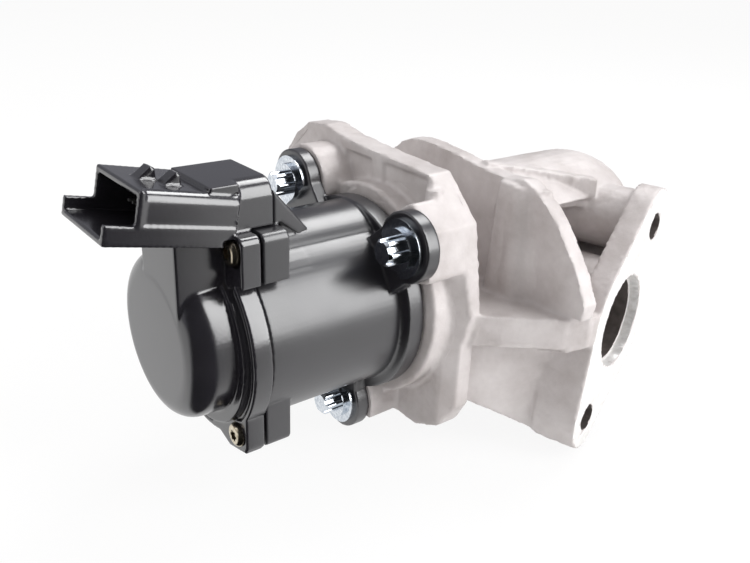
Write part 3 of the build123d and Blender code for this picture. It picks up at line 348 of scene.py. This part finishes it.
def rough_cast(mesh, grain, height):
    """Uneven skin, as a mould leaves it."""
    clouds = bpy.data.textures.new("cast_skin", "CLOUDS")
    clouds.noise_scale = grain
    clouds.noise_depth = 3
    return modified(mesh, "DISPLACE", texture=clouds, texture_coords="LOCAL", strength=height,
                    mid_level=0.5)


def softened(bm, voxel, rounds, most):
    """Fuses a bmesh's shells into one skin with rounded edges and about `most` triangles."""
    mesh = modified(to_mesh(bm, "raw"), "REMESH", mode="VOXEL", voxel_size=voxel)
    mesh = modified(mesh, "SMOOTH", factor=0.5, iterations=rounds)
    triangles = 2 * len(mesh.polygons)
    if triangles > most:
        mesh = modified(mesh, "DECIMATE", decimate_type="COLLAPSE", ratio=most / triangles)
    return mesh


def seat(mesh, name, body, slot, *replaced):
    """Puts a finished mesh into the frame as a piece. `body` is the name of the body that it is attached to;
    anything else leaves it unattached with its transform baked in.
    """
    mesh.transform(TO_FRAME)
    mesh.name = name
    mesh.polygons.foreach_set("use_smooth", [True] * len(mesh.polygons))
    mesh.set_sharp_from_angle(angle=SHARP)
    piece = bpy.data.objects.new(name, mesh)
    bpy.context.scene.collection.objects.link(piece)
    if isinstance(body, str):
        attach(piece, body)
    else:
        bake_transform(piece)
    if replaced:
        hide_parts(*replaced)


# ---------------------------------------------------------------- cap of the actuator
ROOF_TILT = math.radians(12.0)
MOUTH_X, ROOF_Z = -72.2, 45.3
SIDE_Y = -18.7               # near side of the connector
SHROUD_LENGTH = 23.5
MOUTH_FRAME = 1.4            # length of the frame about the mouth
SIDE_STEP = 0.3              # from that frame in to the connector's side
SIDE_ROUND = 2.6             # the side's upper edge
WEDGE_OUTLINE = ((0, -0.8), (5.4, -0.8), (4.4, 2.7), (3.4, 2.9))
WEDGE_HALF_WIDTH = 1.9
WEDGES = ((3.1, -6.0), (7.1, -10.2))                     # how far inwards, and y
OLD_WEDGES = ((1.5, 16), (-15, -1), (0.03, 6))           # what the remade wedges clear away
LID = ((-56.3, -40.4), (-17.0, 2.6), (41.0, 42.9))       # flat top of the tower
LID_SHOULDER = ((-49.0, -39), -17.0, 42.9, 4.4)          # its rounded edge: x, y, z, radius
GROOVE_X = (-53.2, -51.0)                                # between dome and flange
GROOVE_OUT_R, GROOVE_IN_R = 25.0, 23.4
TOWER = ((-56, -48), (-16, 8), (8, 40))                  # the groove stops at the tower
EAR_WEB = ((-2, -23.6), (-12.5, -27.0), (-21.0, -25.0), (-21.2, -15.5))
EAR_WEB_X = (-51.7, -47.2)
ROOF_TO_DRIVE = Matrix.Translation((MOUTH_X, 0, ROOF_Z)) @ Matrix.Rotation(ROOF_TILT, 4, "Y")


def roof_wedge(inwards, y):
    """Wedge that guides the plug's latch, at a place along and across the roof."""
    outline = [(inwards + x, z) for x, z in WEDGE_OUTLINE]
    return placed(prism(outline, "y", y - WEDGE_HALF_WIDTH, y + WEDGE_HALF_WIDTH), ROOF_TO_DRIVE)


def shoulder_cutter(x, y, z, radius):
    """Takes a rounded corner off an edge along X whose outside looks to -Y and +Z."""
    corner = block(x, (y - OVER, y + radius), (z - radius, z + OVER))
    edge = rod((x[0] - OVER, y + radius, z - radius), (x[1] + OVER, y + radius, z - radius), radius)
    return less(corner, edge)


def cap():
    """Cap with its latch wedges, the connector's stepped side, and the groove round the dome."""
    shroud = (MOUTH_FRAME, SHROUD_LENGTH)
    side_y = SIDE_Y + SIDE_STEP
    side = block(shroud, (SIDE_Y - 2, side_y), (-7.4, 3))
    side_edge = shoulder_cutter(shroud, side_y, 0, SIDE_ROUND)
    bm = less(node_copy("gear_cover"), placed(block(*OLD_WEDGES), ROOF_TO_DRIVE),
              placed(side, ROOF_TO_DRIVE), placed(side_edge, ROOF_TO_DRIVE),
              shoulder_cutter(*LID_SHOULDER))
    core = rod((-54, 0, 0), (-50, 0, 0), GROOVE_IN_R)
    groove = less(rod((GROOVE_X[0], 0, 0), (GROOVE_X[1], 0, 0), GROOVE_OUT_R), core)
    bm = less(bm, less(groove, block(*TOWER)))
    lid = less(block(*LID), shoulder_cutter(*LID_SHOULDER))
    web = prism(EAR_WEB, "x", *EAR_WEB_X)
    return gather(bm, lid, web, *(roof_wedge(*wedge) for wedge in WEDGES))


# ---------------------------------------------------------------- barrel of the actuator
BARREL_SKIN_R = 25.05
BULGE_SKIN_R, BULGE_Z = 15.05, 12.5
GUSSET_POCKET = ((-38.8, 32.4), (-33.4, 28.0), (-29.0, 29.0), (-27, 29), (-27, 13), (-38.8, 13))
GUSSET_POCKET_Y = (-20, -8.5)


def barrel():
    """Barrel whose gusset ends above the bulge, with a pocket beside the ear."""
    skin = rod((-42, 0, 0), (-20, 0, 0), BARREL_SKIN_R)
    bulge = rod((-42, 0, BULGE_Z), (-20, 0, BULGE_Z), BULGE_SKIN_R)
    pocket = less(prism(GUSSET_POCKET, "y", *GUSSET_POCKET_Y), skin, bulge)
    return less(node_copy("actuator_housing"), pocket)


# ---------------------------------------------------------------- casting
PORT = Vector((58.3, -48.3, -7.0))
PORT_TURN = math.radians(15.7)
OUT_OF_PORT = Vector((math.sin(PORT_TURN), -math.cos(PORT_TURN), 0))
ALONG_FACE = Vector((math.cos(PORT_TURN), math.sin(PORT_TURN), 0))
HOLE_LEAN = math.radians(33.4)
HOLE_REACH = 30.0
TO_OTHER_HOLE = (ALONG_FACE * math.sin(HOLE_LEAN) + Vector((0, 0, math.cos(HOLE_LEAN)))) * HOLE_REACH
UPPER_HOLE = PORT + TO_OTHER_HOLE
AT_PORT = Matrix.Translation(PORT) @ OUT_OF_PORT.to_track_quat("Z", "Y").to_matrix().to_4x4()
COUNTERBORE_R, COUNTERBORE_DEPTH = 13.9, 3.0
BORE_R, BORE_DEPTH = 12.6, 36.0
HOLE_R, HOLE_DEPTH = 4.0, 13.5
HOLE_BOSS_R = 9.6
TUBE_R = 17.0
FLANGE_DEPTH = 7.0
FACING = 0.12                # what the facing cut takes off
OUTLET_X = 88.0
OUTLET_SEAT_R, OUTLET_SEAT_DEPTH = 15.6, 12
STEM_Z = -9.0
SPRING_SEAT_X, SPRING_SEAT_R = -1.95, 9.0
NEAR_SIDE = ((35.4, 80), (-60, -17.0), (4, 25))          # the dome ends behind the long boss
RIDGE = ((32, -10), (34, -14), (64, -30.5), (62, -26.5))
RIDGE_Z = (22, 60)
FIN_FOOT = ((28, -50.2), (37, -54.6), (37, -60), (28, -60))
FIN_FOOT_Z = (-8, 2.5)
BEHIND_FIN = ((34.6, 50), (-60, 0), (-10, 60))
FIN_FILLET = ((32.0, -29.5, 1), (31.6, -27.8, 33.4), 6.6, 4.3)      # from, to, and both radii
FIN_SLOPE = ((37.0, -33.0, 1), (35.4, -30.6, 33.0), 8.6, 6.0)
PANEL_FLOOR = ((4.9, 8.0), (-19.0, 15.5), (19, 36))
CAST_VOXEL, CAST_ROUNDS, CAST_TRIANGLES = 0.6, 2, 180000
CAST_GRAIN, CAST_RELIEF = 2.6, 0.5


def port_bar(centre, radius, depth):
    """Round cutter that goes in square to the inlet face."""
    return rod(centre + OUT_OF_PORT * 2, centre - OUT_OF_PORT * depth, radius)


def boss_bar(out, depth):
    """Bar along the upper hole's boss, from this far out of the inlet face to this deep."""
    return rod(UPPER_HOLE + OUT_OF_PORT * out, UPPER_HOLE - OUT_OF_PORT * depth, HOLE_BOSS_R)


def cast_shape():
    """Casting as the mould leaves it, with uneven skin and rounded edges."""
    tube = rod(PORT + OUT_OF_PORT * 3, PORT - OUT_OF_PORT * 60, TUBE_R)
    flange = placed(block((-60, 60), (-60, 60), (-FLANGE_DEPTH, 12)), AT_PORT)
    near_side = less(block(*NEAR_SIDE), boss_bar(3, 40), tube, flange, prism(RIDGE, "z", *RIDGE_Z))
    bm = less(node_copy("valve_body"), near_side, prism(FIN_FOOT, "z", *FIN_FOOT_Z))
    fillets = [less(rod(*bar), block(*BEHIND_FIN)) for bar in (FIN_FILLET, FIN_SLOPE)]
    shells = gather(bm, *fillets, block(*PANEL_FLOOR), boss_bar(-5, 36))
    mesh = softened(shells, CAST_VOXEL, CAST_ROUNDS, CAST_TRIANGLES)
    return rough_cast(mesh, CAST_GRAIN, CAST_RELIEF)


def casting():
    """Casting with the faces and bores that are cut after casting."""
    mesh = cast_shape()
    mesh.materials.append(CASTING)
    spring_seat = rod((-12, 0, STEM_Z), (SPRING_SEAT_X, 0, STEM_Z), SPRING_SEAT_R)
    inlet_face = placed(block((-60, 60), (-40, 40), (-FACING, 8)), AT_PORT)
    outlet_face = block((OUTLET_X - FACING, OUTLET_X + 4), (-60, 60), (-60, 60))
    outlet_seat = rod((OUTLET_X - OUTLET_SEAT_DEPTH, 0, STEM_Z), (OUTLET_X + 2, 0, STEM_Z), OUTLET_SEAT_R)
    for cutter, material in (
            (spring_seat, MACHINED),
            (inlet_face, MACHINED),
            (port_bar(PORT, COUNTERBORE_R, COUNTERBORE_DEPTH), MACHINED),
            # the bore and the bolt holes take the darkened colour that paints their shade
            (port_bar(PORT, BORE_R, BORE_DEPTH), BORE_PAINTED_SHADE),
            (port_bar(PORT - TO_OTHER_HOLE, HOLE_R, HOLE_DEPTH), BORE_PAINTED_SHADE),
            (port_bar(PORT + TO_OTHER_HOLE, HOLE_R, HOLE_DEPTH), BORE_PAINTED_SHADE),
            (outlet_face, MACHINED),
            (outlet_seat, MACHINED)):
        mesh = cut(mesh, cutter, material)
    return mesh


# ---------------------------------------------------------------- pieces
SPRING_BENDS_X = (-23.3, -3.2)       # two places along the spring's axis; they are passed on, but nothing moves the turns between them
MOULDING_ROUNDS, MOULDING_TRIANGLES = 4, 150000

# the real spring shortens as the stem moves, but here the wire is seated fixed; its end points are passed on
# unused
spring_mesh = to_mesh(node_copy("return_spring"), "return_spring_wire")
spring_mesh.materials.append(SPRING_STEEL)
spring_ends = [TO_FRAME @ Vector((x, 0, STEM_Z)) for x in SPRING_BENDS_X]
seat(spring_mesh, "return_spring_wire", ("valve", "body", *spring_ends), "spring_steel", "return_spring")

for shape, voxel, material, cad_node in (
        (cap, 0.32, PLASTIC, "gear_cover"), (barrel, 0.34, PLASTIC_DULL, "actuator_housing")):
    moulding = softened(shape(), voxel, MOULDING_ROUNDS, MOULDING_TRIANGLES)
    moulding.materials.append(material)
    seat(moulding, cad_node + "_moulding", "body", "housing_plastic", cad_node)
seat(casting(), "valve_body_casting", "body", "casting", "valve_body")

# ---------------------------------------------------------------- studio
FLOOR_DROP = 0.001           # from the object's lowest point
FLOOR_HALF = 3.0
FILL_LEVEL = 0.66            # what matt surfaces get from the walls
GLOSS_LEVEL = 0.36           # what polished surfaces show of them
DARK_LEVEL = 0.01            # and what they show of the dark side
DARK_TOWARDS = math.radians(238)     # the studio is black on this side
DARK_EDGE = (0.50, 0.68)             # cosines at which black starts and is full
PAPER_GLOW = 0.9             # share of the paper's brightness that doesn't depend on its light
CAP_MIDDLE = (-58, 0, 0)
# name, azimuth and elevation in degrees, distance, width and height in metres, watts
LAMPS = (
    ("softbox_right", -57, 27, 0.9, 0.45, 0.92, 7.2),
    ("softbox_top", 15, 58, 0.9, 0.42, 0.34, 3.6),
    ("softbox_behind", 150, 30, 1.0, 0.9, 0.7, 1.7),
)
CAMERA_PLACE = (-130.4, -166.7, 93.6)
CAMERA_TURN = (66.557, -2.179, -37.893)
CAMERA_LENS, CAMERA_SENSOR = 38.16, 36.0


def towards_dark(tree, direction):
    """1 where a flat direction points to the dark side of the studio, 0 away from it."""
    flat = add_node(tree, "ShaderNodeVectorMath", {0: direction, 1: (1, 1, 0)}, operation="MULTIPLY")
    unit = add_node(tree, "ShaderNodeVectorMath", {0: flat.outputs["Vector"]}, operation="NORMALIZE")
    aim = (math.cos(DARK_TOWARDS), math.sin(DARK_TOWARDS), 0)
    match = add_node(tree, "ShaderNodeVectorMath", {0: unit.outputs["Vector"], 1: aim},
                     operation="DOT_PRODUCT")
    spread = add_node(tree, "ShaderNodeMapRange",
                      {"Value": match.outputs["Value"], "From Min": DARK_EDGE[0], "From Max": DARK_EDGE[1]})
    return spread.outputs["Result"]


def mixed(tree, factor, first, second):
    """The first shader where the factor is 0, the second where it is 1."""
    made = add_node(tree, "ShaderNodeMixShader", {0: factor})
    tree.links.new(first.outputs[0], made.inputs[1])
    tree.links.new(second.outputs[0], made.inputs[2])
    return made


def stage_material():
    """White paper, seen nearly at full white whatever its light, but black in reflections
    towards the studio's dark side."""
    material, tree = new_material("white_paper")
    paper = add_node(tree, "ShaderNodeBsdfDiffuse", {"Color": linear("f4f4f4")})
    glow = add_node(tree, "ShaderNodeEmission", {"Color": linear("ffffff"), "Strength": 1.0})
    black = add_node(tree, "ShaderNodeEmission", {"Color": linear("101010"), "Strength": 1.0})
    path = add_node(tree, "ShaderNodeLightPath")
    place = add_node(tree, "ShaderNodeNewGeometry").outputs["Position"]
    cap_middle = TO_FRAME @ Vector(CAP_MIDDLE)
    from_cap = add_node(tree, "ShaderNodeVectorMath", {0: place, 1: tuple(cap_middle)},
                        operation="SUBTRACT")
    dark = towards_dark(tree, from_cap.outputs["Vector"])
    glossy = path.outputs["Is Glossy Ray"]
    shade = add_node(tree, "ShaderNodeMath", {0: dark, 1: glossy}, operation="MULTIPLY")
    seen = add_node(tree, "ShaderNodeMath", {0: path.outputs["Is Camera Ray"], 1: glossy},
                    operation="MAXIMUM")
    share = add_node(tree, "ShaderNodeMath", {0: seen.outputs[0], 1: PAPER_GLOW}, operation="MULTIPLY")
    lit = mixed(tree, share.outputs[0], paper, glow)
    close_material(tree, mixed(tree, shade.outputs[0], lit, black))
    return material


def studio_floor():
    """Paper floor under the object."""
    bm = bmesh.new()
    bmesh.ops.create_grid(bm, x_segments=1, y_segments=1, size=FLOOR_HALF)
    bmesh.ops.translate(bm, verts=bm.verts, vec=(0, 0, cad_box[0][2] - FLOOR_DROP))
    floor = bpy.data.objects.new("floor", to_mesh(bm, "floor"))
    floor.data.materials.append(stage_material())
    bpy.context.scene.collection.objects.link(floor)


def softbox(name, azimuth, elevation, distance, width, height, power):
    """Flat lamp that looks at the object's middle."""
    lamp = bpy.data.lights.new(name, "AREA")
    lamp.shape = "RECTANGLE"
    lamp.size = width
    lamp.size_y = height
    lamp.energy = power
    holder = bpy.data.objects.new(name, lamp)
    bpy.context.scene.collection.objects.link(holder)
    middle = (Vector(cad_box[0]) + Vector(cad_box[1])) / 2
    a = math.radians(azimuth)
    e = math.radians(elevation)
    away = Vector((math.cos(e) * math.cos(a), math.cos(e) * math.sin(a), math.sin(e)))
    holder.location = middle + away * distance
    holder.rotation_euler = away.to_track_quat("Z", "Y").to_euler()


def studio_light():
    """White walls that matt and polished surfaces see at their own levels, and the lamps."""
    world = bpy.data.worlds.new("studio")
    world.use_nodes = True
    bpy.context.scene.world = world
    tree = world.node_tree
    tree.nodes.clear()
    path = add_node(tree, "ShaderNodeLightPath")
    direction = add_node(tree, "ShaderNodeTexCoord").outputs["Generated"]
    dark = towards_dark(tree, direction)
    level = add_node(tree, "ShaderNodeMapRange",
                     {"Value": dark, "To Min": GLOSS_LEVEL, "To Max": DARK_LEVEL})
    fill = add_node(tree, "ShaderNodeBackground", {"Color": linear("fbf9f8"), "Strength": FILL_LEVEL})
    walls = add_node(tree, "ShaderNodeBackground",
                     {"Color": linear("eeeffa"), "Strength": level.outputs["Result"]})
    white = add_node(tree, "ShaderNodeBackground", {"Color": linear("ffffff"), "Strength": 1.0})
    lit = mixed(tree, path.outputs["Is Glossy Ray"], fill, walls)
    shader = mixed(tree, path.outputs["Is Camera Ray"], lit, white)
    output = add_node(tree, "ShaderNodeOutputWorld")
    tree.links.new(shader.outputs[0], output.inputs["Surface"])
    for lamp in LAMPS:
        softbox(*lamp)


def camera():
    """Looks at the object from the cap's side, a little above and to its right."""
    lens = bpy.data.cameras.new("camera")
    lens.sensor_width = CAMERA_SENSOR
    lens.lens = CAMERA_LENS
    lens.clip_start = 0.01
    holder = bpy.data.objects.new("camera", lens)
    bpy.context.scene.collection.objects.link(holder)
    holder.location = TO_FRAME @ Vector(CAMERA_PLACE)
    holder.rotation_euler = Euler([math.radians(a) for a in CAMERA_TURN])
    bpy.context.scene.camera = holder


studio_floor()
studio_light()
camera()
bpy.context.scene.view_settings.view_transform = "Standard"
